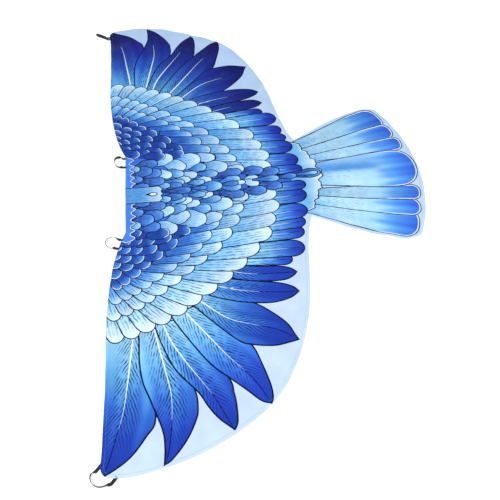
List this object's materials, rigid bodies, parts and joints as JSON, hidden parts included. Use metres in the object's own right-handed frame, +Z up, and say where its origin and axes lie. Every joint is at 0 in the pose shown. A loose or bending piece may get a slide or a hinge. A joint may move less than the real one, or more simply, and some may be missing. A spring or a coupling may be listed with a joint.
{
  "type": "bird wing cape",
  "caption": "Flat printed cloth cape cut as bird wings with a fan tail, narrow turned hem, elastic tape loops at the wing tips and shoulders.",
  "frame": {"origin": "on the surface that the cape lies on, below the centre of the cloth's own box", "axes": "+Z up, out of the printed side; +Y towards the neck edge; +X towards the wearer's right wing tip"},
  "size_m": [1.2516, 0.7363, 0.0142],
  "materials": {
    "printed_back": "light satin-finish polyester, printed on the upper side with feathers in blues",
    "printed_inner_wing": "the same cloth, printed with pale and sky blue covert feathers",
    "printed_outer_wing": "the same cloth, printed with long royal blue flight feathers",
    "printed_tail": "the same cloth, printed with a fan of light blue tail feathers",
    "hem_blue": "turned hem of the same cloth, sewn with a fine lockstitch",
    "hem_pale": "turned hem of the same cloth in the pale margin of the print",
    "elastic_tape": "black woven elastic tape, 6 mm wide, matt",
    "tack_thread": "dense zigzag of dark polyester thread"
  },
  "bodies": {
    "back": {"back_panel": "printed_back", "neck_hem": "hem_blue", "left_back_hem": "hem_pale", "right_back_hem": "hem_pale", "left_shoulder_loop_end_1": "elastic_tape", "left_shoulder_loop_end_2": "elastic_tape", "left_shoulder_loop_tack_1": "tack_thread", "left_shoulder_loop_tack_2": "tack_thread", "right_shoulder_loop_end_1": "elastic_tape", "right_shoulder_loop_end_2": "elastic_tape", "right_shoulder_loop_tack_1": "tack_thread", "right_shoulder_loop_tack_2": "tack_thread"},
    "tail": {"tail_panel": "printed_tail", "left_tail_hem": "hem_pale", "right_tail_hem": "hem_pale", "tail_end_hem": "hem_pale"},
    "left_inner_wing": {"left_inner_wing_panel": "printed_inner_wing", "left_inner_leading_hem": "hem_blue", "left_inner_trailing_hem": "hem_pale"},
    "left_outer_wing": {"left_outer_wing_panel": "printed_outer_wing", "left_outer_leading_hem": "hem_blue", "left_outer_trailing_hem": "hem_pale", "left_tip_loop_end_1": "elastic_tape", "left_tip_loop_end_2": "elastic_tape", "left_tip_loop_tack_1": "tack_thread", "left_tip_loop_tack_2": "tack_thread"},
    "right_inner_wing": {"right_inner_wing_panel": "printed_inner_wing", "right_inner_leading_hem": "hem_blue", "right_inner_trailing_hem": "hem_pale"},
    "right_outer_wing": {"right_outer_wing_panel": "printed_outer_wing", "right_outer_leading_hem": "hem_blue", "right_outer_trailing_hem": "hem_pale", "right_tip_loop_end_1": "elastic_tape", "right_tip_loop_end_2": "elastic_tape", "right_tip_loop_tack_1": "tack_thread", "right_tip_loop_tack_2": "tack_thread"},
    "left_tip_loop": {"left_tip_loop": "elastic_tape"},
    "right_tip_loop": {"right_tip_loop": "elastic_tape"},
    "left_shoulder_loop": {"left_shoulder_loop": "elastic_tape"},
    "right_shoulder_loop": {"right_shoulder_loop": "elastic_tape"}
  },
  "joints": [
    {"name": "left_shoulder_fold", "type": "hinge", "parent": "back", "child": "left_inner_wing", "pos_m": [-0.175, 0.13, 0.0004], "axis": [0, 1, 0], "range_deg": [-90, 60]},
    {"name": "right_shoulder_fold", "type": "hinge", "parent": "back", "child": "right_inner_wing", "pos_m": [0.175, 0.13, 0.0004], "axis": [0, -1, 0], "range_deg": [-90, 60]},
    {"name": "left_elbow_fold", "type": "hinge", "parent": "left_inner_wing", "child": "left_outer_wing", "pos_m": [-0.385, 0.15, 0.0004], "axis": [0, 1, 0], "range_deg": [-35, 35]},
    {"name": "right_elbow_fold", "type": "hinge", "parent": "right_inner_wing", "child": "right_outer_wing", "pos_m": [0.385, 0.15, 0.0004], "axis": [0, -1, 0], "range_deg": [-35, 35]},
    {"name": "tail_fold", "type": "hinge", "parent": "back", "child": "tail", "pos_m": [0, -0.09, 0.0004], "axis": [-1, 0, 0], "range_deg": [-90, 60]},
    {"name": "left_tip_loop_swing", "type": "hinge", "parent": "left_outer_wing", "child": "left_tip_loop", "pos_m": [-0.6143, 0.34305, 0.0007], "axis": [0.6604, 0.7509, 0], "range_deg": [-70, 70]},
    {"name": "right_tip_loop_swing", "type": "hinge", "parent": "right_outer_wing", "child": "right_tip_loop", "pos_m": [0.5877, 0.35258, 0.0007], "axis": [0.996, 0.089, 0], "range_deg": [-70, 70]},
    {"name": "left_shoulder_loop_swing", "type": "hinge", "parent": "back", "child": "left_shoulder_loop", "pos_m": [-0.14297, 0.32253, 0.0007], "axis": [0.9529, -0.3034, 0], "range_deg": [-70, 70]},
    {"name": "right_shoulder_loop_swing", "type": "hinge", "parent": "back", "child": "right_shoulder_loop", "pos_m": [0.093, 0.3114, 0.0007], "axis": [1, 0, 0], "range_deg": [-70, 70]}
  ]
}
